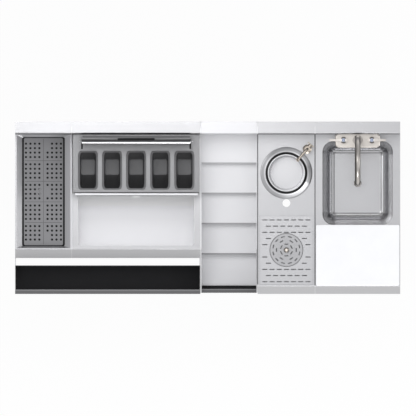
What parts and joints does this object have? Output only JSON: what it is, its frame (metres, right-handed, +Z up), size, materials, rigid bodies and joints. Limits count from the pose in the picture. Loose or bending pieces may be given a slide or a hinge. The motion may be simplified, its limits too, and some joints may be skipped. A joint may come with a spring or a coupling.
{
  "type": "bar sink with ice bin",
  "caption": "Free-standing stainless bar station: drainboard, ice bin with condiment pans and speed rail, stepped bottle display, dipper well with glass rinser, and hand sink",
  "frame": {"origin": "on the floor, in the middle of the footprint", "axes": "+X to the right along the station, +Y to the backsplash, +Z up"},
  "size_m": [1.3716, 0.614, 1.049],
  "materials": {
    "brushed_steel": "brushed",
    "bowl_steel": "satin",
    "leg_steel": "polished tube",
    "warm_nickel": "satin nickel",
    "black_plastic": "ribbed, matte",
    "grey_mat": "matte",
    "black_rubber": "matte",
    "white_board": "fine grain",
    "foam": "foam",
    "white_tab": "gloss",
    "blue_index": "gloss"
  },
  "bodies": {
    "station": {"back_panel": "brushed_steel", "left_end_panel": "brushed_steel", "right_end_panel": "brushed_steel", "display_side_left": "brushed_steel", "display_side_right": "brushed_steel", "leg_channels": "brushed_steel", "leg_sockets": "brushed_steel", "drainboard_deck": "brushed_steel", "ice_bin_deck": "brushed_steel", "utility_deck": "brushed_steel", "hand_sink_deck": "brushed_steel", "drain_basin": "brushed_steel", "ice_bin_liner": "brushed_steel", "ice_bin_shell": "brushed_steel", "cover_tracks": "brushed_steel", "speed_rail": "brushed_steel", "rail_brackets": "brushed_steel", "display_steps": "brushed_steel", "drainer_pan": "brushed_steel", "rinser_head": "brushed_steel", "drain_fittings": "brushed_steel", "sink_drain": "brushed_steel", "dipper_bowl_stand": "brushed_steel", "hand_sink_bowl": "bowl_steel", "dipper_well": "bowl_steel", "legs": "leg_steel", "dipper_faucet_body": "warm_nickel", "dipper_faucet_bonnet": "warm_nickel", "faucet_body": "warm_nickel", "faucet_locknuts": "warm_nickel", "speed_rail_mat": "black_rubber", "display_bumper": "black_rubber", "ice_bin_insulation": "foam"},
    "mat": {"drain_mat": "grey_mat"},
    "cover": {"bin_cover": "brushed_steel", "cover_pull": "white_tab"},
    "tray": {"condiment_tray": "brushed_steel", "lid_hinge_rod": "brushed_steel"},
    "lid": {"condiment_lid": "brushed_steel"},
    "inner_bowl": {"dipper_bowl": "bowl_steel"},
    "dipper_spout": {"dipper_faucet_spout": "warm_nickel"},
    "dipper_handle": {"dipper_faucet_handle": "warm_nickel"},
    "insert": {"drainer_insert": "brushed_steel"},
    "nozzle": {"rinser_nozzle": "warm_nickel"},
    "spout": {"faucet_spout": "warm_nickel", "faucet_aerator": "warm_nickel"},
    "hot_handle": {"faucet_handle_hot": "warm_nickel", "faucet_index_hot": "blue_index"},
    "cold_handle": {"faucet_handle_cold": "warm_nickel", "faucet_index_cold": "blue_index"},
    "board": {"cutting_board": "white_board"},
    "pan_1": {"condiment_pan_1": "black_plastic"},
    "pan_2": {"condiment_pan_2": "black_plastic"},
    "pan_3": {"condiment_pan_3": "black_plastic"},
    "pan_4": {"condiment_pan_4": "black_plastic"},
    "pan_5": {"condiment_pan_5": "black_plastic"},
    "foot_back_left_body": {"foot_back_left": "leg_steel"},
    "foot_front_left_body": {"foot_front_left": "leg_steel"},
    "foot_back_right_body": {"foot_back_right": "leg_steel"},
    "foot_front_right_body": {"foot_front_right": "leg_steel"}
  },
  "joints": [
    {"name": "mat_lift", "type": "slide", "parent": "station", "child": "mat", "axis": [0, 0, 1], "range_m": [0, 0.06]},
    {"name": "cover_slide", "type": "slide", "parent": "station", "child": "cover", "axis": [0, -1, 0], "range_m": [0, 0.176]},
    {"name": "tray_lift", "type": "slide", "parent": "station", "child": "tray", "axis": [0, 0, 1], "range_m": [0, 0.1]},
    {"name": "lid_hinge", "type": "hinge", "parent": "tray", "child": "lid", "pos_m": [-0.25465, 0.237, 0.865], "axis": [1, 0, 0], "range_deg": [0, 90]},
    {"name": "pan_1_lift", "type": "slide", "parent": "tray", "child": "pan_1", "axis": [0, 0, -1], "range_m": [-0.08, 0]},
    {"name": "pan_2_lift", "type": "slide", "parent": "tray", "child": "pan_2", "axis": [0, 0, -1], "range_m": [-0.08, 0]},
    {"name": "pan_3_lift", "type": "slide", "parent": "tray", "child": "pan_3", "axis": [0, 0, -1], "range_m": [-0.08, 0]},
    {"name": "pan_4_lift", "type": "slide", "parent": "tray", "child": "pan_4", "axis": [0, 0, -1], "range_m": [-0.08, 0]},
    {"name": "pan_5_lift", "type": "slide", "parent": "tray", "child": "pan_5", "axis": [0, 0, -1], "range_m": [-0.08, 0]},
    {"name": "inner_bowl_lift", "type": "slide", "parent": "station", "child": "inner_bowl", "axis": [0, 0, 1], "range_m": [0, 0.044]},
    {"name": "dipper_spout_swivel", "type": "hinge", "parent": "station", "child": "dipper_spout", "pos_m": [0.35445, 0.209, 0.815], "axis": [0, 0, 1], "range_deg": [-60, 60]},
    {"name": "dipper_handle_turn", "type": "hinge", "parent": "station", "child": "dipper_handle", "pos_m": [0.35445, 0.209, 0.796], "axis": [0.6566, 0.7542, 0], "range_deg": [0, 90]},
    {"name": "insert_lift", "type": "slide", "parent": "station", "child": "insert", "axis": [0, 0, 1], "range_m": [0, 0.05]},
    {"name": "nozzle_push", "type": "slide", "parent": "station", "child": "nozzle", "axis": [0, 0, -1], "range_m": [0, 0.005], "stiffness_N_per_m": 800, "springref_m": -0.003},
    {"name": "spout_swivel", "type": "hinge", "parent": "station", "child": "spout", "pos_m": [0.53425, 0.241, 0.86], "axis": [0, 0, 1], "range_deg": [-80, 80]},
    {"name": "hot_turn", "type": "hinge", "parent": "station", "child": "hot_handle", "pos_m": [0.48375, 0.241, 0.85], "axis": [0, 0, 1], "range_deg": [0, 90]},
    {"name": "cold_turn", "type": "hinge", "parent": "station", "child": "cold_handle", "pos_m": [0.58475, 0.241, 0.85], "axis": [0, 0, -1], "range_deg": [0, 90]},
    {"name": "board_lift", "type": "slide", "parent": "station", "child": "board", "axis": [0, 0, 1], "range_m": [0, 0.06]},
    {"name": "foot_back_left_screw", "type": "slide", "parent": "station", "child": "foot_back_left_body", "axis": [0, 0, -1], "range_m": [0, 0.025]},
    {"name": "foot_front_left_screw", "type": "slide", "parent": "station", "child": "foot_front_left_body", "axis": [0, 0, -1], "range_m": [0, 0.025]},
    {"name": "foot_back_right_screw", "type": "slide", "parent": "station", "child": "foot_back_right_body", "axis": [0, 0, -1], "range_m": [0, 0.025]},
    {"name": "foot_front_right_screw", "type": "slide", "parent": "station", "child": "foot_front_right_body", "axis": [0, 0, -1], "range_m": [0, 0.025]}
  ]
}
